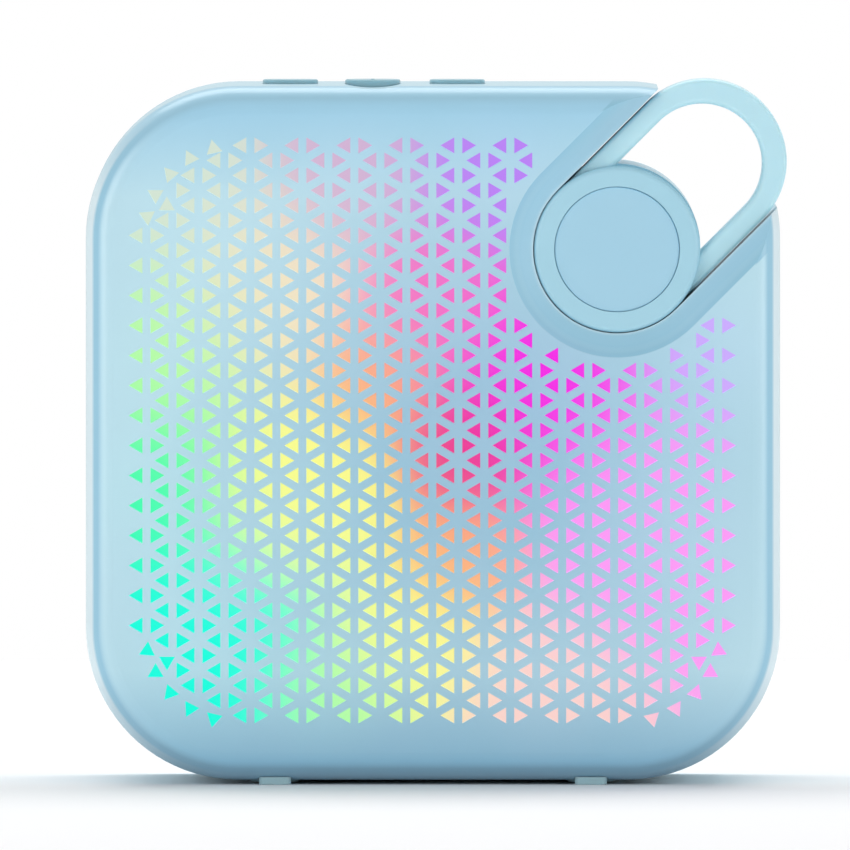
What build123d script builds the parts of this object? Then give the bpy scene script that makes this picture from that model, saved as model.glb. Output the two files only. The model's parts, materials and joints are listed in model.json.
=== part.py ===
from build123d import *
import math
import os

# A square portable speaker: perforated case, light panel, driver, battery, board, buttons and carry loop.
# Millimetres. +X is right seen from the front, the front faces -Y and +Z is up.
# The origin is on the surface the feet stand on, in the middle of the case.

# ---- Case ----
case_width = 100.0
case_height = 100.0
case_depth = 42.0
corner_radius = 21.9
edge_radius = 4.0
wall = 2.0
foot_proud = 0.65
parting_y = 6.0
seal_width = 0.8
seal_height = 0.9
seal_play = 0.05

front_y = -case_depth / 2
back_y = case_depth / 2
inner_front_y = front_y + wall
inner_back_y = back_y - wall
bottom_z = foot_proud
mid_z = bottom_z + case_height / 2
top_z = bottom_z + case_height
inner_top_z = top_z - wall
beyond = 2.0
far = 60.0
pilot_radius = 0.85

# ---- Corner boss, well and carry loop ----
boss_x = 26.5
boss_z = mid_z + 26.5
well_radius = 12.1
bevel_radius = 15.6
bevel_depth = 1.3
well_floor_y = -7.0
post_radius = 8.6
post_bore = 8.1
slot_start = 4.0
slot_reach = 60.0
loop_inner = 8.7
loop_outer = 11.8
loop_inner_length = 17.3
loop_outer_length = 17.9
loop_front_y = -18.15
loop_back_y = -7.3
loop_rounding_inner = 0.8
loop_rounding_outer = 0.6

# ---- Cap over the loop's end ----
lip_y = front_y + bevel_depth
cap_radius = 12.0
cap_rounding = 0.8
cap_thickness = 1.5
cap_plug_radius = 8.0
cap_plug_back_y = -12.0
cap_bore_front_y = -16.0
disc_radius = 9.0
disc_pocket_radius = 9.05
disc_pocket_depth = 0.85
disc_sunk = 0.25
disc_rounding = 0.15
cap_screw_radius = 1.0
cap_screw_head_radius = 2.2
cap_screw_head = 1.4
cap_screw_play = 0.2

# ---- Perforations ----
line_pitch = 3.74
row_pitch = 2.16
hole_side = 2.32
last_line = 11
last_row = 19
pattern_x = -0.1
pattern_z = mid_z + 0.45
corner_start = 30.0
corner_keep = 9.4
boss_clear = 15.94
arc_corner = 28.1
arc_holes_radius = 13.4
arc_holes = ((13.6, 85.0), (28.0, 90.0), (43.5, -10.0), (59.3, 3.0), (75.0, -103.0))
filler_hole = (38.3, 32.8, -90.0)

# ---- Light panel and baffle ----
panel_half = 44.1
panel_corner = 17.0
panel_clear = 14.6
diffuser_y = (-18.9, -18.5)
guide_y = (-17.5, -15.5)
guide_opening = 22.0
led_board_y = (-12.4, -11.4)
led_opening = 28.0
led_height = 1.4
led_size = 2.6
led_ring = 33.0
led_count = 24
led_lens_depth = 0.3
side_lights_x = 40.0
side_lights_z = (20.0, 40.0, 60.0)
top_lights_x = (-34.0, -18.0, -2.0)
top_lights_z = mid_z + 38.0
baffle_y = (-10.5, -8.1)
baffle_inset = 2.3
baffle_post = 1.8
baffle_post_x = 46.2
baffle_screw_hole = 1.1
baffle_screw_head = 1.6
baffle_screw_radius = 0.83
baffle_screw_length = 6.0
baffle_posts = ((-baffle_post_x, 35.0), (-baffle_post_x, 70.0), (baffle_post_x, 28.0), (baffle_post_x, 48.0))

# ---- Driver ----
driver_x = -6.0
driver_z = 42.0
flange_radius = 27.0
flange_thickness = 1.2
basket_radius = 23.5
basket_knee_y = -7.5
basket_shelf_y = -1.0
basket_back_y = 0.2
window_y = -4.6
window_reach = 20.0
window_size = (10.0, 4.0, 14.0)
magnet_radius = 15.0
magnet_bore = 9.2
magnet_y = (1.7, 6.7)
top_plate_y = (0.3, 1.6)
yoke_y = (6.8, 8.8)
pole_y = (-0.6, 7.0)
motor_inset = 0.8
magnet_gap = 0.9
cone_radius = 18.3
cone_neck_y = -5.4
cone_sheet = 0.5
roll_y = baffle_y[0] - 0.9
roll_sheet = 0.4
dust_cap_y = -7.0
dust_cap_rise = 2.0
dust_cap_lap = 2.0
dust_cap_sheet = 0.4
former_radius = 8.0
former_wall = 0.3
former_y = (-6.3, 2.6)
spider_y = (-2.6, -2.2)
driver_screw_circle = 25.4
driver_screw_bearings = (45, 135, 225, 315)
driver_screw_hole = 0.95
driver_screw_pilot = 0.8

# ---- Rear radiator ----
radiator_x = -6.0
radiator_z = 46.0
radiator_opening = 23.5
radiator_frame_radius = 26.5
radiator_frame_inner = 22.2
radiator_plate_radius = 16.8
radiator_plate_y = (17.6, 19.4)
radiator_plate_rounding = 0.5
radiator_frame_depth = 1.95
radiator_roll_y = 18.2
radiator_roll_rise = 2.2
radiator_sheet = 0.5
dish_rim = 4.0
dish_depth = 0.4

# ---- Battery ----
cell_radius = 9.2
cell_length = 65.0
cell_y = 6.8
cell_z = 13.2
terminal_radius = 3.2
terminal_length = 1.2
crimp_from_end = (5.2, 4.4)
crimp_depth = 0.35
tray_wall = 1.2
tray_end = 6.0
strap_half_width = 6.0
strap_thickness = 0.6

# ---- Main board ----
board_x = (-36.0, 12.0)
board_y = (-6.0, 17.0)
board_z = (93.4, 95.0)
board_post_x = (-31.0, 8.0)
board_post_y = 12.0
board_post_radius = 2.2
board_corner = 1.5
board_hole = 1.1
solder_gap = 0.02
chips = ((-1.0, -1.0, 5.0), (-26.0, 4.0, 7.0), (7.0, -1.0, 4.0))
chip_height = 0.9
coils = ((-12.0, 1.0), (-18.0, 1.0))
coil_size = 4.0
coil_height = 2.4
capacitors = ((-32.0, -3.0), (-32.0, 4.5))
capacitor_radius = 2.0
capacitor_height = 5.2
carrier_place = (-19.0, 10.0)
carrier_size = (14.0, 11.0, 0.8)
can_place = (-20.0, 10.0)
can_size = (11.0, 10.0, 1.6)
switch_size = 5.2
switch_height = 1.4
switch_stem_radius = 1.0
switch_stem_height = 0.6
switch_top_z = board_z[1] + 1.9
socket_x = (-4.0, 4.5)
socket_y = 6.5
socket_size = (6.0, 4.4)
socket_mouth = (4.4, 2.6, 2.0)
socket_height = 3.6
lead_radius = 0.7
lead_bend = 5.0
port_x = -14.0
port_z = board_z[0] - 1.65
port_opening = (10.4, 4.6)
receptacle_size = (8.94, 3.2)
receptacle_wall = 0.3
receptacle_depth = 7.35
receptacle_mouth = 6.0
tongue_size = (6.7, 0.7)
tongue_sunk = 0.8

# ---- Buttons ----
button_x = (-20.6, -8.7, 3.5)
button_y = -1.5
button_length = 8.0
button_depth = (5.0, 8.0, 5.0)
button_proud = 0.66
button_play = 0.15
button_travel = 0.35
scoop_depth = 0.45
scoop_width = 8.1
flange_gap = 0.1
button_flange = 0.6
button_flange_lap = 0.9
button_foot_radius = 1.2
button_rounding = 0.3
switch_play = 0.1
tick_size = (0.5, 1.2, 0.24)
tick_inset = 1.1

# ---- Charging port flap ----
flap_length = 14.0
flap_height = 8.0
flap_thickness = 1.0
flap_play = 0.25
flap_corner = 1.8
flap_pocket_corner = 0.8
flap_roll_inset = 1.8
plug_size = (9.8, 4.0)
plug_hollow = (7.8, 2.4)
plug_depth = 1.0
lip_from_edge = (1.6, 0.4)
lip_half = 1.8
lip_proud = 0.5
lip_rounding = 0.4

# ---- Feet ----
foot_x = 22.75
foot_width = 7.0
foot_block_width = 4.6
foot_block_corner = 0.8
foot_flange_length = 33.0
foot_block_length = 38.4
foot_recess = 0.5
foot_flange_z = 0.25
foot_chamfer = 0.25
foot_rounding = 0.12
foot_play = 0.05

# ---- Screws ----
screw_offset = 10.25
screw_column = 3.2
screw_radius = 1.25
screw_length = 22.0
screw_pilot = 1.3
screw_head_radius = 2.3
screw_head_y = 16.0
column_front_y = -2.0
corner_x = case_width / 2 - corner_radius
corner_low_z = bottom_z + corner_radius
corner_high_z = top_z - corner_radius
case_screw_places = (
    (-corner_x - screw_offset, corner_low_z - screw_offset),
    (corner_x + screw_offset, corner_low_z - screw_offset),
    (-corner_x - screw_offset, corner_high_z + screw_offset),
    (43.0, 60.0),
)


# ---- Helpers ----
def slab(outline, front, back):
    """An outline drawn in X and Z, as thick as the space between two Y planes."""
    plane = Plane((0, back, 0), x_dir=(1, 0, 0), z_dir=(0, -1, 0))
    return extrude(plane * outline, back - front)


def at(x, z):
    """A place in an outline."""
    return Pos(x, z)


def drum(radius, front, back, x, z):
    """A cylinder along Y."""
    return slab(at(x, z) * Circle(radius), front, back)


def tube(outer, inner, front, back, x, z):
    """A hollow cylinder along Y."""
    return slab(at(x, z) * (Circle(outer) - Circle(inner)), front, back)


def block(x, y, z):
    """A box between two X, two Y and two Z values."""
    size = (x[1] - x[0], y[1] - y[0], z[1] - z[0])
    return Pos((x[0] + x[1]) / 2, (y[0] + y[1]) / 2, (z[0] + z[1]) / 2) * Box(*size)


def turned(points, x, z):
    """A solid of revolution about a line along Y, from (radius, y) points."""
    profile = make_face(Polyline(*points, close=True))
    return Pos(x, 0, z) * revolve(profile, Axis.Y)


def case_outline(inset):
    """The case's rounded square, drawn in by an inset."""
    square = RectangleRounded(case_width - 2 * inset, case_height - 2 * inset, corner_radius - inset)
    return at(0, mid_z) * square


def band(half_width, start):
    """A straight band that runs from the boss out through the upper right corner."""
    strip = Pos((start + slot_reach) / 2, 0) * Rectangle(slot_reach - start, 2 * half_width)
    return at(boss_x, boss_z) * Rot(0, 0, 45) * strip


def well_outline(half_width):
    """The U of the well: a circle about the boss, open to the corner."""
    return at(boss_x, boss_z) * Circle(half_width) + band(half_width, 0)


def slot_outline(grown):
    """The gap that goes right through the corner, outside the boss."""
    return band(well_radius + grown, slot_start - grown) - at(boss_x, boss_z) * Circle(well_radius - grown)


def ring_outline(inset):
    """The case's outline with its corner gap, drawn in by an inset."""
    return case_outline(inset) - slot_outline(inset)


# ---- Case shells ----
def outer_body():
    """The outside of the case, with its front and back edges rounded."""
    body = slab(case_outline(0), front_y, back_y)
    rims = body.faces().sort_by(Axis.Y)
    return fillet(rims[0].edges() + rims[-1].edges(), edge_radius)


def inner_body():
    """The space inside the case, clear of the walls of the well and of the corner gap."""
    space = slab(case_outline(wall), inner_front_y, inner_back_y)
    rims = space.faces().sort_by(Axis.Y)
    space = fillet(rims[0].edges() + rims[-1].edges(), edge_radius - wall)
    space -= slab(well_outline(well_radius + wall), front_y, well_floor_y + wall)
    return space - slab(slot_outline(wall), well_floor_y, back_y)


def bevel_cut():
    """The shallow slope around the well, from its lip out to the front face."""
    run = (bevel_radius - well_radius) / bevel_depth * beyond
    wide = bevel_radius + run
    slope = Pos(boss_x, front_y - beyond + (bevel_depth + beyond) / 2, boss_z)
    cone = slope * Rot(90, 0, 0) * Cone(well_radius, wide, bevel_depth + beyond)
    section = Polyline(
        (-well_radius, -bevel_depth),
        (well_radius, -bevel_depth),
        (wide, beyond),
        (-wide, beyond),
        close=True,
    )
    along = Plane((boss_x, front_y, boss_z), x_dir=(-1, 0, 1), z_dir=(1, 0, 1))
    return cone + extrude(along * make_face(section), slot_reach)


def case_body():
    """Both halves of the case as one hollow solid."""
    body = outer_body() - inner_body()
    body -= slab(well_outline(well_radius), front_y - beyond, well_floor_y)
    body -= slab(slot_outline(0), well_floor_y - beyond, back_y + beyond)
    body -= bevel_cut()
    body += tube(post_radius, post_bore, lip_y + cap_thickness + 0.1, well_floor_y + wall / 2, boss_x, boss_z)
    bore = cap_screw_radius + cap_screw_play
    return body - drum(bore, well_floor_y - beyond, well_floor_y + 2 * wall, boss_x, boss_z)


def triangle(x, z, turn):
    """A perforation: an equal-sided triangle about its middle, its tip turned from the right."""
    shape = RegularPolygon(hole_side / math.sqrt(3), 3)
    return Pos(x, z) * Rot(0, 0, turn) * shape


def from_boss(x, z):
    """How far a point is from the middle line of the well's U."""
    along = ((x - boss_x) + (z - boss_z)) / math.sqrt(2)
    across = ((z - boss_z) - (x - boss_x)) / math.sqrt(2)
    return abs(across) if along > 0 else math.hypot(along, across)


def clear_of_boss(x, z, turn):
    """Whether all three tips of a perforation stay off the slope around the well."""
    reach = hole_side / math.sqrt(3)
    tips = [math.radians(turn + third) for third in (0, 120, 240)]
    return all(from_boss(x + reach * math.cos(t), z + reach * math.sin(t)) > boss_clear for t in tips)


def inside_corners(x, z):
    """Whether a perforation of the regular pattern lies inside the pattern's cut corners."""
    over_x = abs(x) - corner_start
    over_z = abs(z) - corner_start
    return over_x < 0 or over_z < 0 or math.hypot(over_x, over_z) < corner_keep


def regular_holes():
    """Back-to-back triangles on vertical lines, each line half a step from the next."""
    for line in range(-last_line, last_line + 1):
        for row in range(-last_row, last_row + 1):
            if (line + row) % 2:
                continue
            for side, turn in ((-1, 180), (1, 0)):
                x = line * line_pitch + side * line_pitch / 3
                z = row * row_pitch
                if inside_corners(x, z):
                    yield x + pattern_x, z + pattern_z, turn


def corner_holes():
    """Turned triangles that follow the rounded corners; the boss takes the upper right one."""
    for right, up in ((-1, -1), (1, -1), (-1, 1)):
        places = [(filler_hole[0], filler_hole[1], filler_hole[2])]
        for bearing, turn in arc_holes:
            x = arc_corner + arc_holes_radius * math.cos(math.radians(bearing))
            z = arc_corner + arc_holes_radius * math.sin(math.radians(bearing))
            places.append((x, z, turn))
        for x, z, turn in places:
            turned_x = turn if right < 0 else 180 - turn
            yield right * x, up * z + mid_z, turned_x if up < 0 else -turned_x


def perforations():
    """All the triangular holes through the front wall."""
    holes = [h for h in regular_holes() if clear_of_boss(*h)] + list(corner_holes())
    return [slab(triangle(*h), front_y - 1, inner_front_y + 0.2) for h in holes]


def seal_ring(slack):
    """The seal between the two halves, or with slack the groove that it lies in."""
    inset = (wall - seal_width) / 2
    ring = ring_outline(inset - slack) - ring_outline(inset + seal_width + slack)
    return slab(ring, parting_y - seal_height / 2 - slack, parting_y + seal_height / 2 + slack)


def button_outline(depth, grown):
    """A button seen from above, its ends rounded."""
    length = button_length + 2 * grown
    across = depth + 2 * grown
    if across >= length:
        return Circle(length / 2)
    return SlotOverall(length, across)


def button_openings():
    """The holes in the top wall that the buttons stand in."""
    cuts = []
    for x, depth in zip(button_x, button_depth):
        outline = Pos(x, button_y, inner_top_z - 0.5) * button_outline(depth, button_play)
        cuts.append(extrude(outline, wall + 2))
    return cuts


def foot_flange(x, grown):
    """A foot's thin flange seen from below, its ends round."""
    return Pos(x, 0) * Rot(0, 0, 90) * SlotOverall(foot_flange_length + 2 * grown, foot_width + 2 * grown)


def foot_block(x, grown):
    """A foot's narrow block seen from below, its corners just softened."""
    across = foot_block_width + 2 * grown
    return Pos(x, 0) * RectangleRounded(across, foot_block_length + 2 * grown, foot_block_corner)


def foot_recesses():
    """Shallow seats for the two feet."""
    seats = []
    for x in (-foot_x, foot_x):
        outline = foot_flange(x, foot_play) + foot_block(x, foot_play)
        seats.append(extrude(Pos(0, 0, bottom_z - 0.5) * outline, foot_recess + 0.5))
    return seats


def thumb_scoop():
    """The shallow trough in front of the middle button, that lets its front show."""
    curve = (scoop_width**2 / 4 + scoop_depth**2) / (2 * scoop_depth)
    reach = button_y - front_y + 1
    trough = Pos(button_x[1], button_y - reach / 2, top_z + curve - scoop_depth) * Rot(90, 0, 0)
    return trough * Cylinder(curve, reach)


def front_shell(case):
    """The front half: perforated face, well, post and the posts for the baffle."""
    shell = case & block((-far, far), (front_y - 1, parting_y), (-far, 2 * far))
    for x, z in baffle_posts:
        shell += drum(baffle_post, inner_front_y - 0.5, baffle_y[0] - 0.05, x, z) & slab(
            case_outline(wall / 2), front_y, parting_y
        )
        shell -= drum(pilot_radius, inner_front_y + 2, baffle_y[0] + 1, x, z)
    shell -= seal_ring(seal_play)
    for cut in button_openings() + foot_recesses() + [thumb_scoop()]:
        shell -= cut
    return shell.cut(*perforations())


def rear_shell(case):
    """The rear half: radiator opening, port, screw columns and the posts for the board."""
    shell = case & block((-far, far), (parting_y, back_y + 1), (-far, 2 * far))
    for x, z in case_screw_places:
        shell += drum(screw_column, column_front_y, inner_back_y + 0.5, x, z)
        shell -= drum(screw_pilot + 0.2, column_front_y - 1, back_y, x, z)
        shell -= drum(screw_head_radius + 0.3, screw_head_y, back_y + 1, x, z)
    for x in board_post_x:
        height = inner_top_z - board_z[1] + 0.5
        shell += Pos(x, board_post_y, board_z[1] + 0.05 + height / 2) * Cylinder(board_post_radius, height)
        shell -= Pos(x, board_post_y, board_z[1] + 1.5) * Cylinder(pilot_radius, 3.2)
    shell -= drum(radiator_opening, inner_back_y - 1, back_y + 1, radiator_x, radiator_z)
    shell -= slab(at(port_x, port_z) * SlotOverall(*port_opening), inner_back_y - 1, back_y + 1)
    pocket = RectangleRounded(
        flap_length + 2 * flap_play, flap_height + 2 * flap_play, flap_pocket_corner
    )
    shell -= slab(at(port_x, port_z) * pocket, back_y - flap_thickness - flap_play, back_y + 1)
    shell -= seal_ring(seal_play)
    for cut in foot_recesses():
        shell -= cut
    return shell


# ---- Carry loop and cap ----
def racetrack(radius, length):
    """A ring shape about the boss that runs out over the corner."""
    straight = Pos(length / 2, 0) * Rectangle(length, 2 * radius)
    shape = Circle(radius) + straight + Pos(length, 0) * Circle(radius)
    return at(boss_x, boss_z) * Rot(0, 0, 45) * shape


def carry_loop():
    """The soft loop: its lower end goes round the post, its upper end stands past the corner."""
    outer = slab(racetrack(loop_outer, loop_outer_length), loop_front_y, loop_back_y)
    rims = outer.faces().sort_by(Axis.Y)
    outer = fillet(rims[0].edges() + rims[-1].edges(), loop_rounding_outer)
    hole = slab(racetrack(loop_inner, loop_inner_length), loop_front_y - 1, loop_back_y + 1)
    loop = outer - hole
    inner_edges = [
        e
        for face in (loop.faces().sort_by(Axis.Y)[0], loop.faces().sort_by(Axis.Y)[-1])
        for e in face.inner_wires()[0].edges()
    ]
    return fillet(inner_edges, loop_rounding_inner)


def loop_cap():
    """The round cap that holds the loop on its post."""
    flange = drum(cap_radius, lip_y, lip_y + cap_thickness, boss_x, boss_z)
    flange = fillet(flange.faces().sort_by(Axis.Y)[0].edges(), cap_rounding)
    plug = drum(cap_plug_radius, lip_y + cap_thickness, cap_plug_back_y, boss_x, boss_z)
    cap = flange + plug
    cap -= drum(disc_pocket_radius, lip_y - 1, lip_y + disc_pocket_depth, boss_x, boss_z)
    return cap - drum(cap_screw_radius, cap_bore_front_y, cap_plug_back_y + 1, boss_x, boss_z)


def cap_disc():
    """The round inlay in the cap."""
    disc = drum(disc_radius, lip_y + disc_sunk, lip_y + disc_pocket_depth, boss_x, boss_z)
    return fillet(disc.faces().sort_by(Axis.Y)[0].edges(), disc_rounding)


def cap_screw():
    """The screw that pulls the cap onto the post from inside the case."""
    head_y = well_floor_y + wall + 0.05
    shank = drum(cap_screw_radius - 0.02, cap_bore_front_y + 0.2, head_y, boss_x, boss_z)
    head = drum(cap_screw_head_radius, head_y, head_y + cap_screw_head, boss_x, boss_z)
    cross = slab(at(boss_x, boss_z) * (Rectangle(2.4, 0.6) + Rectangle(0.6, 2.4)), head_y + 0.7, head_y + 2)
    return shank + head - cross


# ---- Light panel and baffle ----
def panel_outline(opening):
    """The outline that the light panel's layers share, cut back around the well."""
    panel = at(0, mid_z) * RectangleRounded(2 * panel_half, 2 * panel_half, panel_corner)
    panel -= well_outline(panel_clear)
    if opening:
        panel -= at(driver_x, driver_z) * Circle(opening)
    return panel


def light_points():
    """Where the lights stand: evenly round the driver, then in a row near each side."""
    for step in range(led_count):
        bearing = 2 * math.pi * step / led_count
        x = driver_x + led_ring * math.cos(bearing)
        z = driver_z + led_ring * math.sin(bearing)
        if from_boss(x, z) > panel_clear + led_size:
            yield x, z
    for z in side_lights_z:
        yield side_lights_x, z
    for x in top_lights_x:
        yield x, top_lights_z


def lights():
    """The coloured lights, each with its round lens recess."""
    group = []
    back = led_board_y[0]
    for x, z in light_points():
        body = slab(at(x, z) * Rectangle(led_size, led_size), back - led_height, back)
        front = back - led_height
        group.append(body - drum(led_size * 0.38, front - 1, front + led_lens_depth, x, z))
    return Compound(children=group)


def baffle():
    """The board across the case that carries the driver and takes the case screws."""
    plate = slab(case_outline(baffle_inset) - well_outline(panel_clear), *baffle_y)
    plate -= drum(basket_radius + 0.5, baffle_y[0] - 1, baffle_y[1] + 1, driver_x, driver_z)
    for x, z in case_screw_places:
        plate += drum(screw_column, baffle_y[1] - 0.5, column_front_y - 0.1, x, z)
        plate -= drum(screw_pilot, baffle_y[0] + 1, column_front_y + 1, x, z)
    for x, z in baffle_posts:
        plate -= drum(baffle_screw_hole, baffle_y[0] - 1, baffle_y[1] + 1, x, z)
    for x, z in driver_screw_points():
        plate -= drum(driver_screw_pilot, baffle_y[0] - 1, baffle_y[1] + 1, x, z)
    return plate


def screw_group(places, head_radius, shank_radius, head, length):
    """Like screws along Y, heads at the back, each with a cross recess."""
    group = []
    for x, z in places:
        body = drum(shank_radius, head - length, head, x, z) + drum(head_radius, head, head + 1.3, x, z)
        cross = Rectangle(head_radius * 1.2, 0.5) + Rectangle(0.5, head_radius * 1.2)
        group.append(body - slab(at(x, z) * cross, head + 0.6, head + 2))
    return Compound(children=group)


# ---- Driver ----
def driver_screw_points():
    """Four places round the driver's flange."""
    for bearing in driver_screw_bearings:
        turn = math.radians(bearing)
        yield driver_x + driver_screw_circle * math.cos(turn), driver_z + driver_screw_circle * math.sin(turn)


def driver_basket():
    """The pressed frame: flange, sloping wall with four windows, and the ring the motor hangs on."""
    flange_front = baffle_y[0] - flange_thickness
    outside = [
        (flange_radius, flange_front),
        (flange_radius, baffle_y[0] - 0.02),
        (basket_radius, baffle_y[0] - 0.02),
        (basket_radius - 0.5, basket_knee_y),
        (magnet_radius, basket_shelf_y),
        (magnet_radius, basket_back_y),
        (former_radius + 1.5, basket_back_y),
        (former_radius + 1.5, basket_back_y - 0.8),
        (magnet_radius - 0.9, basket_back_y - 1.0),
        (basket_radius - 1.5, basket_knee_y - 0.3),
        (basket_radius - 1.0, flange_front),
    ]
    basket = turned(outside, driver_x, driver_z)
    for bearing in (0, 90, 180, 270):
        place = Pos(driver_x, window_y, driver_z) * Rot(0, bearing, 0) * Pos(window_reach, 0, 0)
        basket -= place * Box(*window_size)
    for x, z in driver_screw_points():
        basket -= drum(driver_screw_hole, flange_front - 1, baffle_y[0] + 1, x, z)
    return basket


def half_roll(inner, outer, y, rise, sheet, x, z):
    """A rubber ring whose section is an arch of even thickness, rising along Y."""
    mid = (inner + outer) / 2
    within = math.copysign(sheet, rise)
    section = make_face(
        [
            ThreePointArc((inner, y), (mid, y + rise), (outer, y)),
            Line((outer, y), (outer - sheet, y)),
            ThreePointArc((outer - sheet, y), (mid, y + rise - within), (inner + sheet, y)),
            Line((inner + sheet, y), (inner, y)),
        ]
    )
    return Pos(x, 0, z) * revolve(section, Axis.Y)


def driver_surround():
    """The rubber half roll between the cone and the flange."""
    inner = cone_radius + 0.1
    outer = basket_radius - 1.1
    return half_roll(inner, outer, roll_y, (inner - outer) / 2, roll_sheet, driver_x, driver_z)


def driver_cone():
    """The paper cone."""
    points = [
        (cone_radius, roll_y),
        (former_radius + 0.1, cone_neck_y),
        (former_radius + 0.1, cone_neck_y + cone_sheet),
        (cone_radius, roll_y + cone_sheet),
    ]
    return turned(points, driver_x, driver_z)


def driver_dust_cap():
    """The domed cap over the voice coil."""
    rim = former_radius + dust_cap_lap
    curve = (rim**2 + dust_cap_rise**2) / (2 * dust_cap_rise)
    front = dust_cap_y - dust_cap_rise
    dome = Pos(driver_x, front + curve, driver_z) * (Sphere(curve) - Sphere(curve - dust_cap_sheet))
    return dome & drum(rim + 1, front - 1, dust_cap_y, driver_x, driver_z)


def driver_motor():
    """The magnet ring, and the yoke with its top plate."""
    magnet = tube(magnet_radius, magnet_bore, *magnet_y, driver_x, driver_z)
    top = tube(magnet_radius - motor_inset, former_radius + 0.6, *top_plate_y, driver_x, driver_z)
    pole = drum(former_radius - magnet_gap, *pole_y, driver_x, driver_z)
    yoke = pole + drum(magnet_radius - motor_inset, *yoke_y, driver_x, driver_z)
    return magnet, top, yoke


# ---- Rear radiator ----
def radiator_frame():
    """The ring glued inside the back wall."""
    back = inner_back_y - 0.05
    front = back - radiator_frame_depth
    return tube(radiator_frame_radius, radiator_frame_inner, front, back, radiator_x, radiator_z)


def radiator_surround():
    """The rubber roll that lets the radiator's plate move."""
    inner = radiator_plate_radius + 0.05
    outer = radiator_frame_inner - 0.05
    rise = radiator_roll_rise
    return half_roll(inner, outer, radiator_roll_y, rise, radiator_sheet, radiator_x, radiator_z)


def radiator_plate():
    """The weighted plate, with a shallow dish and a softened rim."""
    plate = drum(radiator_plate_radius, *radiator_plate_y, radiator_x, radiator_z)
    plate = fillet(plate.faces().sort_by(Axis.Y)[-1].edges(), radiator_plate_rounding)
    face_y = radiator_plate_y[1]
    dish = drum(radiator_plate_radius - dish_rim, face_y - dish_depth, face_y + 1, radiator_x, radiator_z)
    return plate - dish


# ---- Battery ----
def cell_bar(radius, start, end):
    """A cylinder along X on the cell's axis."""
    return Pos((start + end) / 2, cell_y, cell_z) * Rot(0, 90, 0) * Cylinder(radius, end - start)


def battery_cell():
    """The round cell with its raised end."""
    half = cell_length / 2
    can = cell_bar(cell_radius, -half, half - terminal_length)
    crimp = cell_bar(cell_radius + 1, half - crimp_from_end[0], half - crimp_from_end[1])
    crimp -= cell_bar(cell_radius - crimp_depth, half - crimp_from_end[0] - 1, half - crimp_from_end[1] + 1)
    return can - crimp + cell_bar(terminal_radius, half - terminal_length - 0.2, half)


def battery_tray():
    """The open trough that the cell lies in."""
    half = cell_length / 2 + 0.3
    side = cell_radius + 0.2
    low = bottom_z + wall + 0.1
    tray = block(
        (-half - tray_wall, half + tray_wall),
        (cell_y - side - tray_wall, cell_y + side + 0.3),
        (low, cell_z + 1.0),
    )
    tray -= cell_bar(side, -half, half)
    tray -= block((tray_end - half, half - tray_end), (-far, far), (cell_z - 3, cell_z + 4))
    return tray & slab(case_outline(wall + 0.1), inner_front_y, inner_back_y - 1)


def battery_strap():
    """The foam-backed band over the cell."""
    side = cell_radius + 0.05
    half = strap_half_width
    arch = cell_bar(side + strap_thickness, -half, half) - cell_bar(side, -half - 1, half + 1)
    return arch & block((-half, half), (-far, far), (cell_z - 2.8, far))


# ---- Main board ----
def main_board():
    """The circuit board under the top wall."""
    board = block(board_x, board_y, board_z)
    board = fillet(board.edges().filter_by(Axis.Z), board_corner)
    for x in board_post_x:
        board -= Pos(x, board_post_y, board_z[0]) * Cylinder(board_hole, 6)
    return board


def on_board(x, y, length, width, height, below=False):
    """A component that stands on the board, or hangs under it."""
    if below:
        z = (board_z[0] - height, board_z[0] - solder_gap)
    else:
        z = (board_z[1] + solder_gap, board_z[1] + height)
    return block((x - length / 2, x + length / 2), (y - width / 2, y + width / 2), z)


def usb_receptacle():
    """The hollow charging socket with its tongue, its mouth at the back."""
    solid = at(port_x, port_z) * SlotOverall(*receptacle_size)
    hollow = at(port_x, port_z) * SlotOverall(*[size - 2 * receptacle_wall for size in receptacle_size])
    tongue = at(port_x, port_z) * Rectangle(*tongue_size)
    back = inner_back_y - 0.1
    socket = slab(solid - hollow, back - receptacle_depth, back)
    socket += slab(solid, back - receptacle_depth, back - receptacle_mouth)
    return socket + slab(tongue, back - receptacle_mouth - 0.2, back - tongue_sunk)


def tact_switches():
    """The three switches under the buttons."""
    group = []
    for x in button_x:
        body = on_board(x, button_y, switch_size, switch_size, switch_height)
        stem = Cylinder(switch_stem_radius, switch_stem_height)
        group.append(body + Pos(x, button_y, switch_top_z - switch_stem_height / 2) * stem)
    return Compound(children=group)


def board_chips():
    """The amplifier, the processor and the charger."""
    return Compound(children=[on_board(x, y, size, size, chip_height, below=True) for x, y, size in chips])


def board_coils():
    """The power coils and the tall capacitors."""
    group = []
    for x, y in coils:
        coil = on_board(x, y, coil_size, coil_size, coil_height, below=True)
        group.append(chamfer(coil.edges().filter_by(Axis.Z), 0.6))
    hang_z = board_z[0] - solder_gap - capacitor_height / 2
    for x, y in capacitors:
        group.append(Pos(x, y, hang_z) * Cylinder(capacitor_radius, capacitor_height))
    return Compound(children=group)


def wireless_module():
    """The radio's shield can on its little carrier board."""
    carrier = on_board(*carrier_place, *carrier_size)
    can = Pos(0, 0, carrier_size[2]) * on_board(*can_place, *can_size)
    return carrier + chamfer(can.faces().sort_by(Axis.Z)[-1].edges(), 0.3)


def board_sockets():
    """The sockets for the battery and the driver."""
    group = []
    for x in socket_x:
        body = on_board(x, socket_y, *socket_size, socket_height, below=True)
        group.append(body - Pos(x, socket_y, board_z[0] - socket_height) * Box(*socket_mouth))
    return Compound(children=group)


def lead(*points):
    """A sleeved wire pair: straight runs joined by arcs, up into its socket."""
    path = FilletPolyline(*points, radius=lead_bend)
    start = Plane(path @ 0, z_dir=path % 0)
    return sweep(start * Circle(lead_radius), path)


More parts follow.
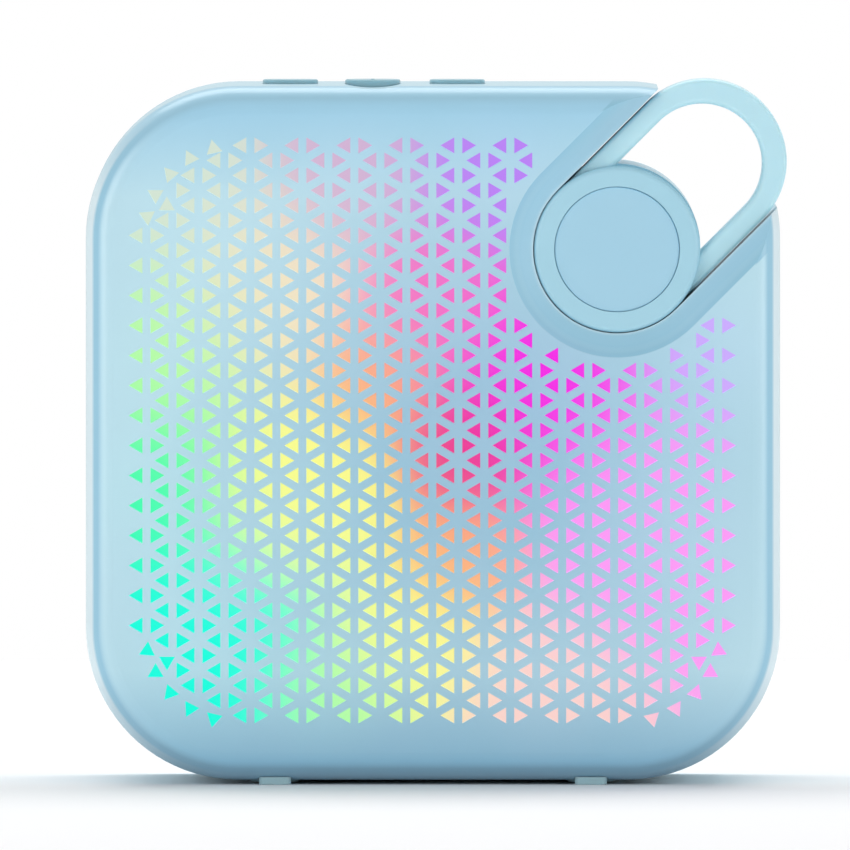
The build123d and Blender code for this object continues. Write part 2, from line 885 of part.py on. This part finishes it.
def driver_lead():
    """From the driver's basket to the board."""
    x, low_z = driver_x, driver_z + 18.6
    up_z = board_z[0] - socket_height + 0.9
    return lead((x, -3, low_z), (x, -3, 74), (socket_x[0], socket_y, 81), (socket_x[0], socket_y, up_z))


def battery_lead():
    """From the top of the cell to the board."""
    low_z = cell_z + cell_radius + 0.1
    up_z = board_z[0] - socket_height + 0.9
    return lead((26, 8, low_z), (26, 8, 48), (socket_x[1], socket_y, 76), (socket_x[1], socket_y, up_z))


# ---- Buttons, flap, feet ----
def button(x, depth):
    """A button: its cap, the flange under the top wall, and the foot that meets the switch."""
    top = top_z + button_proud
    flange_top = inner_top_z - flange_gap
    middle = flange_top - button_flange / 2
    cap = extrude(Pos(x, button_y, middle) * button_outline(depth, 0), top - middle)
    cap = fillet(cap.faces().sort_by(Axis.Z)[-1].edges(), button_rounding)
    wide = Pos(x, button_y, flange_top - button_flange) * button_outline(depth, button_flange_lap)
    foot_low = switch_top_z + button_travel + switch_play
    foot = Pos(x, button_y, (foot_low + middle) / 2) * Cylinder(button_foot_radius, middle - foot_low)
    return cap + extrude(wide, button_flange) + foot


def middle_button(x, depth):
    """The middle button, with a raised tick at its front."""
    tick = Pos(x, button_y - depth / 2 + tick_inset, top_z + button_proud) * Box(*tick_size)
    return button(x, depth) + tick


def port_flap():
    """The soft cover of the charging port: plate, plug, finger lip and hinge roll."""
    outer = back_y
    inner = back_y - flap_thickness
    left = port_x - flap_length / 2
    right = port_x + flap_length / 2
    hinge = flap_thickness / 2
    plate = slab(at(port_x, port_z) * RectangleRounded(flap_length, flap_height, flap_corner), inner, outer)
    plate -= block((left - 1, left + hinge), (inner - 1, outer + 1), (port_z - 10, port_z + 10))
    roll = Pos(left + hinge, back_y - hinge, port_z) * Cylinder(hinge, flap_height - 2 * flap_roll_inset)
    ring = at(port_x, port_z) * (SlotOverall(*plug_size) - SlotOverall(*plug_hollow))
    lip = block(
        (right - lip_from_edge[0], right - lip_from_edge[1]),
        (outer - lip_proud, outer + lip_proud),
        (port_z - lip_half, port_z + lip_half),
    )
    lip = fillet(lip.edges().filter_by(Axis.Z), lip_rounding)
    return plate + roll + slab(ring, inner - plug_depth, inner) + lip


def foot(x):
    """A foot: a thin flange in its seat, and the narrower block that stands on the surface."""
    seat_z = bottom_z + foot_recess - foot_play
    flange = extrude(Pos(0, 0, foot_flange_z) * foot_flange(x, 0), seat_z - foot_flange_z)
    flange = chamfer(flange.faces().sort_by(Axis.Z)[0].edges(), foot_chamfer)
    pad = extrude(foot_block(x, 0), seat_z)
    pad = fillet(pad.faces().sort_by(Axis.Z)[0].edges(), foot_rounding)
    return flange + pad


# ---- Every piece ----
def pieces():
    """Every node's name and its solid."""
    case = case_body()
    yield "front_shell", front_shell(case)
    yield "rear_shell", rear_shell(case)
    yield "shell_seal", seal_ring(0)
    yield "carry_loop", carry_loop()
    yield "loop_cap", loop_cap()
    yield "cap_disc", cap_disc()
    yield "cap_screw", cap_screw()
    yield "diffuser", slab(panel_outline(0), *diffuser_y)
    yield "light_guide", slab(panel_outline(guide_opening), *guide_y)
    yield "light_board", slab(panel_outline(led_opening), *led_board_y)
    yield "lights", lights()
    yield "baffle", baffle()
    seat_y = baffle_y[1] + 0.02
    fixings = screw_group(baffle_posts, baffle_screw_head, baffle_screw_radius, seat_y, baffle_screw_length)
    yield "baffle_screws", fixings
    yield "driver_basket", driver_basket()
    yield "driver_surround", driver_surround()
    yield "driver_cone", driver_cone()
    yield "driver_dust_cap", driver_dust_cap()
    yield "voice_coil", tube(former_radius, former_radius - former_wall, *former_y, driver_x, driver_z)
    spider = tube(magnet_radius - 1.1, former_radius + 0.15, *spider_y, driver_x, driver_z)
    yield "driver_spider", spider
    magnet, top_plate, yoke = driver_motor()
    yield "driver_magnet", magnet
    yield "driver_top_plate", top_plate
    yield "driver_yoke", yoke
    yield "radiator_frame", radiator_frame()
    yield "radiator_surround", radiator_surround()
    yield "radiator_plate", radiator_plate()
    yield "battery_cell", battery_cell()
    yield "battery_tray", battery_tray()
    yield "battery_strap", battery_strap()
    yield "main_board", main_board()
    yield "wireless_module", wireless_module()
    yield "board_chips", board_chips()
    yield "board_coils", board_coils()
    yield "board_sockets", board_sockets()
    yield "usb_receptacle", usb_receptacle()
    yield "driver_lead", driver_lead()
    yield "battery_lead", battery_lead()
    yield "tact_switches", tact_switches()
    yield "button_left", button(button_x[0], button_depth[0])
    yield "button_middle", middle_button(button_x[1], button_depth[1])
    yield "button_right", button(button_x[2], button_depth[2])
    yield "port_flap", port_flap()
    yield "foot_left", foot(-foot_x)
    yield "foot_right", foot(foot_x)
    case_screws = screw_group(case_screw_places, screw_head_radius, screw_radius, screw_head_y, screw_length)
    yield "case_screws", case_screws


def main():
    os.makedirs("parts", exist_ok=True)
    for name, shape in pieces():
        export_step(shape, f"parts/{name}.step")


main()
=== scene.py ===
import json
import math

import bpy
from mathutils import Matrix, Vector


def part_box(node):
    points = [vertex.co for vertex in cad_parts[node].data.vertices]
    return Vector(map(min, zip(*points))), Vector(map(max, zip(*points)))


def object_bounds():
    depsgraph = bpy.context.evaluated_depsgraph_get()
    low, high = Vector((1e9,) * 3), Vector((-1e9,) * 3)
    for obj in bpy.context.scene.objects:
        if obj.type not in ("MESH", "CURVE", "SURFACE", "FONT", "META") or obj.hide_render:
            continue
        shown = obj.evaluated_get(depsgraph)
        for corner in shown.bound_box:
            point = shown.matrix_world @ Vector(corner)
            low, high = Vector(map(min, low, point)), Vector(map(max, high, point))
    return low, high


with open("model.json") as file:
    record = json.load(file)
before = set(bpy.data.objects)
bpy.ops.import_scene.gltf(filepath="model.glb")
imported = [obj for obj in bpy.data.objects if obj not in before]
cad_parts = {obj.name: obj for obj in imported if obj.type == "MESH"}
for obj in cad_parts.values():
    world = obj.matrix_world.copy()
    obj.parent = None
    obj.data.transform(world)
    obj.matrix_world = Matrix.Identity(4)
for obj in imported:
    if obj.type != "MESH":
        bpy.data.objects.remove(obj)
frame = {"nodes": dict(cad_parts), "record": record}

nodes = frame["nodes"]
cad_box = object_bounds()

MM = 0.001


# ---- Node trees ----
def linear(hex_colour):
    """An sRGB hex colour as linear red, green, blue and alpha."""
    parts = [int(hex_colour[i:i + 2], 16) / 255 for i in (1, 3, 5)]
    return [p / 12.92 if p <= 0.04045 else ((p + 0.055) / 1.055) ** 2.4 for p in parts] + [1.0]


def add_node(tree, kind, inputs=None, **settings):
    """Adds a shader node; each input is a value, or another node's output to link."""
    made = tree.nodes.new("ShaderNode" + kind)
    for name, value in settings.items():
        setattr(made, name, value)
    for socket, value in (inputs or {}).items():
        if isinstance(value, bpy.types.NodeSocket):
            tree.links.new(value, made.inputs[socket])
        else:
            made.inputs[socket].default_value = value
    return made


def new_material(name):
    """An empty material with its output, and the piece's own coordinates in metres."""
    material = bpy.data.materials.new(name)
    material.use_nodes = True
    tree = material.node_tree
    tree.nodes.clear()
    output = add_node(tree, "OutputMaterial")
    place = add_node(tree, "TexCoord").outputs["Object"]
    return material, tree, output, place


def per_metre(size_mm):
    """The texture scale that gives a pattern of this size."""
    return 1.0 / (size_mm * MM)


def grain(tree, place, size_mm, detail=2.0, stretch=None):
    """Noise with grains of a real size, drawn out along an axis if stretch is given."""
    if stretch:
        place = add_node(tree, "Mapping", {"Vector": place, "Scale": stretch}).outputs["Vector"]
    return add_node(
        tree, "TexNoise", {"Vector": place, "Scale": per_metre(size_mm), "Detail": detail}
    ).outputs["Fac"]


def spread(tree, factor, low, high, low_in=0.3, high_in=0.7):
    """Maps a factor from its usual range to two values."""
    return add_node(
        tree,
        "MapRange",
        {"Value": factor, "From Min": low_in, "From Max": high_in, "To Min": low, "To Max": high},
    ).outputs["Result"]


def tinted(tree, factor, dark, light):
    """A colour between two others, each a hex colour or another node's output."""
    ends = [linear(colour) if isinstance(colour, str) else colour for colour in (dark, light)]
    return add_node(tree, "Mix", {0: factor, 6: ends[0], 7: ends[1]}, data_type="RGBA").outputs[2]


def ramp(tree, value, stops):
    """Colours at places along a value from 0 to 1, blended between."""
    node = add_node(tree, "ValToRGB", {"Fac": value})
    elements = node.color_ramp.elements
    while len(elements) < len(stops):
        elements.new(1.0)
    for element, (where, colour) in zip(elements, stops):
        element.position = where
        element.color = linear(colour)
    return node.outputs["Color"]


def bumped(tree, factor, height_mm, strength):
    """Surface relief of a real height."""
    return add_node(
        tree, "Bump", {"Height": factor, "Distance": height_mm * MM, "Strength": strength}
    ).outputs["Normal"]


def finish_with(tree, output, shader_inputs, kind="BsdfPrincipled"):
    """The surface shader, linked to the output."""
    shader = add_node(tree, kind, shader_inputs)
    tree.links.new(shader.outputs[0], output.inputs["Surface"])
    return shader


# ---- The lights' colours ----
LIGHT_COLOURS = {
    "cyan": "#10f8d8",
    "mint": "#40f8a8",
    "light green": "#b0f8a0",
    "grey green": "#d0e0d0",
    "yellow": "#f8f888",
    "cream": "#f0e0c0",
    "orange": "#f8a878",
    "rose": "#e83080",
    "pink": "#f070c0",
    "magenta": "#f020e0",
    "violet": "#b880f0",
    "grey lilac": "#d0b0d0",
    "lilac": "#c8a8f8",
    "light pink": "#f898f0",
    "peach": "#f8d0c8",
}
# A rainbow that runs from the lower left to the middle of the panel and pales towards the right and the top.
# Each light's X and height from the middle of the case, and its reach, in millimetres.
LIGHT_POOLS = (
    (-34, -32, 15, "cyan"),
    (-42, -8, 10, "mint"),
    (-40, 12, 11, "light green"),
    (-38, 34, 12, "grey green"),
    (-14, -38, 8, "light green"),
    (-18, -8, 11, "yellow"),
    (-4, -30, 9, "yellow"),
    (-24, 20, 11, "cream"),
    (-8, 8, 7, "orange"),
    (4, -18, 7, "orange"),
    (4, -2, 8, "rose"),
    (0, 18, 9, "pink"),
    (16, 8, 11, "magenta"),
    (10, 38, 10, "violet"),
    (-12, 38, 9, "grey lilac"),
    (42, 12, 10, "lilac"),
    (32, -14, 14, "light pink"),
    (16, -38, 10, "peach"),
)
case_low, case_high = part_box("front_shell")
middle_x = (case_low.x + case_high.x) / 2
middle_z = (case_low.z + case_high.z) / 2
cap_low, cap_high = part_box("loop_cap")
boss_middle = ((cap_low.x + cap_high.x) / 2, 0, (cap_low.z + cap_high.z) / 2)


def light_field(tree, place):
    """The lights' blended colour, where the nearest light counts most, and how much light there is."""
    flat = add_node(tree, "VectorMath", {0: place, 1: (1, 0, 1)}, operation="MULTIPLY").outputs[0]
    total = None
    weights = None
    for x_mm, z_mm, reach_mm, name in LIGHT_POOLS:
        centre = (middle_x + x_mm * MM, 0, middle_z + z_mm * MM)
        colour = tuple(linear(LIGHT_COLOURS[name])[:3])
        away = add_node(tree, "VectorMath", {0: flat, 1: centre}, operation="DISTANCE").outputs["Value"]
        share = add_node(tree, "Math", {0: away, 1: reach_mm * MM}, operation="DIVIDE").outputs[0]
        square = add_node(tree, "Math", {0: share, 1: 2.0}, operation="POWER").outputs[0]
        minus = add_node(tree, "Math", {0: square, 1: -1.0}, operation="MULTIPLY").outputs[0]
        weight = add_node(tree, "Math", {0: math.e, 1: minus}, operation="POWER").outputs[0]
        part = add_node(tree, "VectorMath", {0: colour, "Scale": weight}, operation="SCALE").outputs[0]
        total = part if total is None else add_node(tree, "VectorMath", {0: total, 1: part}).outputs[0]
        weights = weight if weights is None else add_node(tree, "Math", {0: weights, 1: weight}).outputs[0]
    safe = add_node(tree, "Math", {0: weights, 1: 1e-4}, operation="MAXIMUM").outputs[0]
    inverse = add_node(tree, "Math", {0: 1.0, 1: safe}, operation="DIVIDE").outputs[0]
    blend = add_node(tree, "VectorMath", {0: total, "Scale": inverse}, operation="SCALE").outputs[0]
    return blend, weights


# ---- The case's moulding, and its painted shade, highlight and glow ----
# All in millimetres. The grille ends at GRILLE_REACH from the middle, and at CORNER_REACH along a diagonal.
GRILLE_REACH = 44.0
CORNER_REACH = 55.4
WELL_REACH = 15.55
# Where the painted shade on the grille is deepest: X and height from the middle of the case.
GRILLE_SHADE_HEART = (6, -4)
# Painted glow: how strongly the panel's light is painted onto the grille's face, as if coming through it,
# and onto the walls of its holes, as if coming off them.
FACE_GLOW = 0.03
WALL_GLOW = 0.55
# The front rim's painted shade and painted highlight over the first 6 mm behind the face.
RIM_DEPTH = 6.0
RIM_SHADE_AND_HIGHLIGHT = (
    (0.0, "#bce3f1"),
    (0.10, "#9ccfe6"),
    (0.19, "#9ed0e6"),
    (0.25, "#dff1f7"),
    (0.45, "#dcf0f6"),
)


def behind_face(tree, depth, near, far, near_mm, far_mm):
    """A value that runs from near to far between two depths behind the front face."""
    return spread(tree, depth, near, far, case_low.y + near_mm * MM, case_low.y + far_mm * MM)


def from_well(tree, flat):
    """How far a point is from the middle line of the well, which runs from the boss to the corner."""
    way = (math.sqrt(0.5), 0, math.sqrt(0.5))
    outward = add_node(tree, "VectorMath", {0: flat, 1: boss_middle}, operation="SUBTRACT").outputs[0]
    run = add_node(tree, "VectorMath", {0: outward, 1: way}, operation="DOT_PRODUCT").outputs["Value"]
    run = add_node(tree, "Math", {0: run, 1: 0.0}, operation="MAXIMUM").outputs[0]
    nearest = add_node(tree, "VectorMath", {0: way, "Scale": run}, operation="SCALE").outputs[0]
    return add_node(tree, "VectorMath", {0: outward, 1: nearest}, operation="DISTANCE").outputs["Value"]


def face_colour(tree, cloud, flat, high, low):
    """The flat face: palest at the sides, with painted shade deeper in the grille's middle and towards top
    and bottom.
    """
    shade_heart = (middle_x + GRILLE_SHADE_HEART[0] * MM, 0, middle_z + GRILLE_SHADE_HEART[1] * MM)
    away = add_node(tree, "VectorMath", {0: flat, 1: shade_heart}, operation="DISTANCE").outputs["Value"]
    pale = tinted(tree, cloud, "#bce3f1", "#c4e9f5")
    # Painted shade: deeper towards the grille's middle, then towards the top and the bottom.
    pale = tinted(tree, spread(tree, away, 1.0, 0.0, 12 * MM, 48 * MM), pale, "#9ccbe2")
    return tinted(tree, low, tinted(tree, high, pale, "#a6d8f0"), "#86bedc")


def rim_colour(tree, depth, high, low):
    """The rounded rim: painted shade where it starts to turn, then a painted highlight, with more painted
    shade towards top and bottom; behind it the sides are even.
    """
    turn = behind_face(tree, depth, 0.0, 1.0, 0.0, RIM_DEPTH)
    # Painted shade and highlight along the rim, with more painted shade towards the top and the bottom.
    rim = tinted(tree, high, ramp(tree, turn, RIM_SHADE_AND_HIGHLIGHT), "#9ccadf")
    rim = tinted(tree, low, rim, "#7fa9c0")
    return tinted(tree, spread(tree, turn, 0.0, 1.0, 0.5, 0.9), rim, "#b8e0ee")


def wall_glow(tree, flat, depth, across):
    """How strongly the walls of the grille's holes glow with painted light from the panel: nothing outside
    the grille or behind the wall.
    """
    middle = (middle_x, 0, middle_z)
    inward = add_node(tree, "VectorMath", {0: flat, 1: middle}, operation="SUBTRACT").outputs[0]
    inward = add_node(tree, "VectorMath", {0: inward}, operation="ABSOLUTE").outputs[0]
    sides = add_node(tree, "SeparateXYZ", {"Vector": inward}).outputs
    reach = add_node(tree, "Math", {0: sides["X"], 1: sides["Z"]}, operation="MAXIMUM").outputs[0]
    radius = add_node(tree, "VectorMath", {0: inward}, operation="LENGTH").outputs["Value"]
    glow = behind_face(tree, depth, 0.0, WALL_GLOW, 0.05, 1.6)
    limits = (
        spread(tree, reach, 1.0, 0.0, GRILLE_REACH * MM, (GRILLE_REACH + 0.3) * MM),
        spread(tree, radius, 1.0, 0.0, CORNER_REACH * MM, (CORNER_REACH + 0.3) * MM),
        spread(tree, across, 0.0, 1.0, WELL_REACH * MM, (WELL_REACH + 0.2) * MM),
        behind_face(tree, depth, 1.0, 0.0, 2.05, 2.2),
    )
    for limit in limits:
        glow = add_node(tree, "Math", {0: glow, 1: limit}, operation="MULTIPLY").outputs[0]
    return glow


# ---- Materials ----
def moulded_shell():
    """Satin moulded ABS with a fine grain: painted shade and a painted highlight make its rim read as
    turned, painted shade deepens its face, and the thin grille has a painted glow.
    """
    material, tree, output, place = new_material("satin_moulded_abs")
    cloud = grain(tree, place, 40.0, 1.0)
    # Spark-eroded grain is about 0.1 mm; it is drawn at 0.3 mm so that it shows.
    pits = grain(tree, place, 0.3, 3.0)
    along = add_node(tree, "SeparateXYZ", {"Vector": place}).outputs
    flat = add_node(tree, "VectorMath", {0: place, 1: (1, 0, 1)}, operation="MULTIPLY").outputs[0]
    depth = along["Y"]
    height = add_node(tree, "Math", {0: along["Z"], 1: middle_z}, operation="SUBTRACT").outputs[0]
    # Where the painted shade towards the top and the bottom of the case comes in.
    high = spread(tree, height, 0.0, 1.0, 34 * MM, 46 * MM)
    low = spread(tree, height, 0.0, 1.0, -34 * MM, -50 * MM)
    across = from_well(tree, flat)
    at_front = behind_face(tree, depth, 1.0, 0.0, 0.2, 0.7)
    # Painted shade: the slope around the well is deeper in colour, with a crisp outer edge.
    painted_well_shade = spread(tree, across, 1.0, 0.0, WELL_REACH * MM, (WELL_REACH + 0.2) * MM)
    sloping = behind_face(tree, depth, 0.0, 1.0, 0.01, 0.05)
    painted_well_shade = add_node(tree, "Math", {0: painted_well_shade, 1: sloping}, operation="MULTIPLY").outputs[0]
    face = tinted(tree, painted_well_shade, face_colour(tree, cloud, flat, high, low), "#94c9e0")
    colour, weights = light_field(tree, place)
    # Painted glow: the front face near the grille gives off a little of the panel's light, and the walls of
    # its holes glow.
    painted_face_glow = spread(tree, weights, 0.0, FACE_GLOW, 0.3, 1.0)
    painted_face_glow = add_node(tree, "Math", {0: painted_face_glow, 1: at_front}, operation="MULTIPLY").outputs[0]
    glow = add_node(tree, "Math", {0: painted_face_glow, 1: wall_glow(tree, flat, depth, across)}).outputs[0]
    finish_with(tree, output, {
        "Base Color": tinted(tree, at_front, rim_colour(tree, depth, high, low), face),
        "Roughness": spread(tree, pits, 0.34, 0.44),
        "IOR": 1.54,
        "Normal": bumped(tree, pits, 0.012, 0.35),
        "Coat Weight": 0.35,
        "Coat Roughness": 0.14,
        "Emission Color": colour,
        "Emission Strength": glow,
    })
    return material


def moulded_silicone(name, dark, light, roughness=0.5, through=0.25):
    """Moulded silicone: soft matte, slightly see-through at thin edges."""
    material, tree, output, place = new_material(name)
    cloud = grain(tree, place, 12.0, 2.0)
    skin = grain(tree, place, 0.25, 2.0)
    finish_with(tree, output, {
        "Base Color": tinted(tree, cloud, dark, light),
        "Roughness": spread(tree, skin, roughness - 0.05, roughness + 0.05),
        "IOR": 1.41,
        "Normal": bumped(tree, skin, 0.008, 0.3),
        "Subsurface Weight": through,
        "Subsurface Radius": (0.0012, 0.0016, 0.0018),
        "Subsurface Scale": 1.0,
        "Sheen Weight": 0.35,
        "Sheen Roughness": 0.35,
    })
    return material


def moulded_resin(name, dark, light, roughness=0.42, grain_mm=0.35):
    """Moulded engineering plastic: even colour with a fine grain."""
    material, tree, output, place = new_material(name)
    cloud = grain(tree, place, 15.0, 2.0)
    pits = grain(tree, place, grain_mm, 3.0)
    finish_with(tree, output, {
        "Base Color": tinted(tree, cloud, dark, light),
        "Roughness": spread(tree, pits, roughness - 0.06, roughness + 0.06),
        "IOR": 1.5,
        "Normal": bumped(tree, pits, 0.01, 0.3),
    })
    return material


def worked_metal(name, dark, light, roughness, scratch_mm=0.4, stretch=(1, 1, 8)):
    """Plated, turned or pressed metal: fine scratches along one way break up its shine."""
    material, tree, output, place = new_material(name)
    scratches = grain(tree, place, scratch_mm, 3.0, stretch)
    finish_with(tree, output, {
        "Base Color": tinted(tree, scratches, dark, light),
        "Metallic": 1.0,
        "Roughness": spread(tree, scratches, roughness - 0.07, roughness + 0.08),
        "Normal": bumped(tree, scratches, 0.006, 0.3),
    })
    return material


def glow_film():
    """Milky diffuser film with the coloured lights behind it: it gives even, saturated light."""
    material, tree, output, place = new_material("milky_diffuser_film")
    colour, _ = light_field(tree, place)
    finish_with(tree, output, {
        "Base Color": linear("#2c2c2e"),
        "Roughness": 0.6,
        "Emission Color": colour,
        "Emission Strength": 0.98,
    })
    return material


def woven_cotton():
    """Resin-stiffened cotton weave: threads over and under each 0.4 mm."""
    material, tree, output, place = new_material("stiffened_cotton_weave")
    across = add_node(tree, "TexWave", {"Vector": place, "Scale": per_metre(2.6)}, bands_direction="X")
    up = add_node(tree, "TexWave", {"Vector": place, "Scale": per_metre(2.6)}, bands_direction="Z")
    threads = {0: across.outputs["Fac"], 1: up.outputs["Fac"]}
    weave = add_node(tree, "Math", threads, operation="MULTIPLY").outputs[0]
    finish_with(tree, output, {
        "Base Color": tinted(tree, weave, "#9a7a3c", "#d4b26a"),
        "Roughness": 0.8,
        "Normal": bumped(tree, weave, 0.08, 0.6),
    })
    return material


def clear_acrylic():
    """Moulded acrylic light guide: clear, glossy, faintly clouded."""
    material, tree, output, place = new_material("clear_moulded_acrylic")
    finish_with(tree, output, {
        "Base Color": linear("#eef6fa"),
        "Roughness": spread(tree, grain(tree, place, 3.0), 0.03, 0.12),
        "IOR": 1.49,
        "Transmission Weight": 0.9,
    })
    return material


def solder_mask(name, dark, light):
    """A coated circuit board: semi-gloss coating over faint copper tracks."""
    material, tree, output, place = new_material(name)
    tracks = add_node(
        tree, "TexVoronoi", {"Vector": place, "Scale": per_metre(2.0)}, feature="F1", distance="CHEBYCHEV"
    ).outputs["Distance"]
    edges = spread(tree, tracks, 0.0, 1.0, 0.2, 0.6)
    finish_with(tree, output, {
        "Base Color": tinted(tree, edges, dark, light),
        "Roughness": 0.28,
        "IOR": 1.5,
        "Normal": bumped(tree, edges, 0.03, 0.4),
    })
    return material


finishes = {
    "shell": moulded_shell(),
    "seal": moulded_silicone("grey_silicone_seal", "#30343a", "#3a3e44"),
    "loop": moulded_silicone("pale_blue_silicone", "#bee8f4", "#c6ecf6", 0.42, 0.3),
    "cap": moulded_resin("satin_blue_cap_abs", "#a8d8ea", "#b0deee", 0.36),
    "inlay": moulded_resin("satin_blue_inlay_abs", "#a6d4ea", "#acdaee", 0.4),
    "screw": worked_metal("zinc_plated_steel", "#8a8c90", "#b4b6ba", 0.32),
    "diffuser": glow_film(),
    "light_guide": clear_acrylic(),
    "light_board": solder_mask("white_coated_board", "#e4e6e2", "#f2f3f0"),
    "light": moulded_resin("clear_resin_on_white", "#f2eeda", "#faf6e6", 0.2),
    "inner_frame": moulded_resin("black_moulded_abs", "#1e2024", "#282b30", 0.45),
    "basket": moulded_resin("black_powder_coat", "#141416", "#1e1e20", 0.5, 0.2),
    "surround": moulded_silicone("black_butyl_rubber", "#26282c", "#303338", 0.48, 0.0),
    "cone": moulded_resin("coated_paper_pulp", "#26262a", "#34343a", 0.6, 0.6),
    "coil": worked_metal("wound_copper_wire", "#a8643a", "#d08a58", 0.3, 0.3, (1, 12, 1)),
    "spider": woven_cotton(),
    "magnet": moulded_resin("ground_ferrite", "#2a2a2c", "#3a3a3c", 0.45, 0.5),
    "motor_steel": worked_metal("nickel_plated_steel", "#98989c", "#c0c0c2", 0.28),
    "radiator_plate": worked_metal("blue_anodised_aluminium", "#8fb6c8", "#a6cad8", 0.34, 0.3, (10, 1, 1)),
    "cell": moulded_resin("shrink_sleeve_pvc", "#4a7c98", "#5688a2", 0.25),
    "strap": moulded_resin("foam_backed_band", "#1c1c1e", "#2a2a2c", 0.85, 0.8),
    "board": solder_mask("green_coated_board", "#0c3a26", "#165238"),
    "can": worked_metal("tinned_sheet_steel", "#a4a4a6", "#c8c8ca", 0.35),
    "component": moulded_resin("black_moulded_epoxy", "#141416", "#202024", 0.4),
    "lead": moulded_silicone("black_sleeved_wire", "#18181a", "#242426", 0.45, 0.0),
    "button": moulded_silicone("frosted_button_silicone", "#90b6c2", "#9cc0ca", 0.45, 0.4),
    "flap": moulded_silicone("blue_flap_silicone", "#9cc8d8", "#a6d0de", 0.5, 0.2),
    "foot": moulded_silicone("blue_foot_silicone", "#9cc0ca", "#a8cad2", 0.55, 0.3),
}
for part in frame["record"]["subparts"]:
    mesh = nodes[part["node"]].data
    mesh.materials.clear()
    mesh.materials.append(finishes[part["material_slot"]])


# ---- Stage, lights and camera ----
# The floor's front and back edges and half its width, in metres.
FLOOR_FRONT = -1.2
FLOOR_BACK = 0.45
FLOOR_SIDE = 1.2


def stage_floor():
    """The plain pale floor."""
    low = cad_box[0].z
    mesh = bpy.data.meshes.new("floor")
    corners = [
        (-FLOOR_SIDE, FLOOR_FRONT, low),
        (FLOOR_SIDE, FLOOR_FRONT, low),
        (FLOOR_SIDE, FLOOR_BACK, low),
        (-FLOOR_SIDE, FLOOR_BACK, low),
    ]
    mesh.from_pydata(corners, [], [(0, 1, 2, 3)])
    floor = bpy.data.objects.new("floor", mesh)
    bpy.context.scene.collection.objects.link(floor)
    material, tree, output, _ = new_material("matte_white_paint")
    finish_with(tree, output, {"Base Color": linear("#f6f6f7"), "Roughness": 0.9, "Specular IOR Level": 0.1})
    mesh.materials.append(material)


def soft_light(name, where, size, power, colour="#ffffff"):
    """A rectangular soft light that faces the middle of the case; size is in metres, power in watts."""
    light = bpy.data.lights.new(name, "AREA")
    light.shape = "RECTANGLE"
    light.size, light.size_y = size
    light.energy = power
    light.color = linear(colour)[:3]
    lamp = bpy.data.objects.new(name, light)
    lamp.location = where
    middle = Vector((middle_x, 0, middle_z))
    lamp.rotation_euler = (middle - Vector(where)).to_track_quat("-Z", "Y").to_euler()
    bpy.context.scene.collection.objects.link(lamp)


def studio_world():
    """White surroundings, brightest behind the object."""
    world = bpy.data.worlds.new("studio")
    world.use_nodes = True
    tree = world.node_tree
    tree.nodes.clear()
    way = add_node(tree, "TexCoord").outputs["Generated"]
    depth = add_node(tree, "SeparateXYZ", {"Vector": way}).outputs["Y"]
    level = spread(tree, depth, 0.45, 0.66, -0.1, 0.1)
    # Seen directly the backdrop is plain white all round.
    seen = add_node(tree, "LightPath").outputs["Is Camera Ray"]
    level = add_node(tree, "Math", {0: level, 1: seen}, operation="MAXIMUM").outputs[0]
    back = add_node(tree, "Background", {"Color": linear("#ffffff"), "Strength": level})
    output = add_node(tree, "OutputWorld")
    tree.links.new(back.outputs[0], output.inputs["Surface"])
    bpy.context.scene.world = world


# The camera's distance in metres, its rise, the width it takes in at the case's front face,
# and how far to the right of the case's middle and above it the camera aims.
CAMERA_AWAY = 4.5
CAMERA_RISE = math.radians(1.75)
FIELD_WIDTH = 122.34 * MM
SENSOR_WIDTH = 36.0
AIM_RIGHT = -1.15 * MM
AIM_UP = 1.25 * MM


def studio_camera():
    """A long lens square to the front, a little above it."""
    camera = bpy.data.objects.new("camera", bpy.data.cameras.new("camera"))
    camera.data.sensor_width = SENSOR_WIDTH
    camera.data.lens = SENSOR_WIDTH * CAMERA_AWAY / FIELD_WIDTH
    camera.data.clip_end = 100.0
    back = Vector((0, -math.cos(CAMERA_RISE), math.sin(CAMERA_RISE)))
    camera.location = Vector((middle_x + AIM_RIGHT, case_low.y, middle_z + AIM_UP)) + back * CAMERA_AWAY
    camera.rotation_euler = (-back).to_track_quat("-Z", "Y").to_euler()
    bpy.context.scene.collection.objects.link(camera)
    bpy.context.scene.camera = camera


stage_floor()
soft_light("left_softbox", (-0.9, -0.9, 0.25), (0.5, 0.9), 4.4)
soft_light("right_softbox", (1.0, -0.8, 0.2), (0.4, 0.9), 3.9)
soft_light("overhead", (0.0, 0.55, 1.3), (1.6, 0.8), 13.0)
studio_world()
studio_camera()
bpy.context.scene.view_settings.view_transform = "Standard"
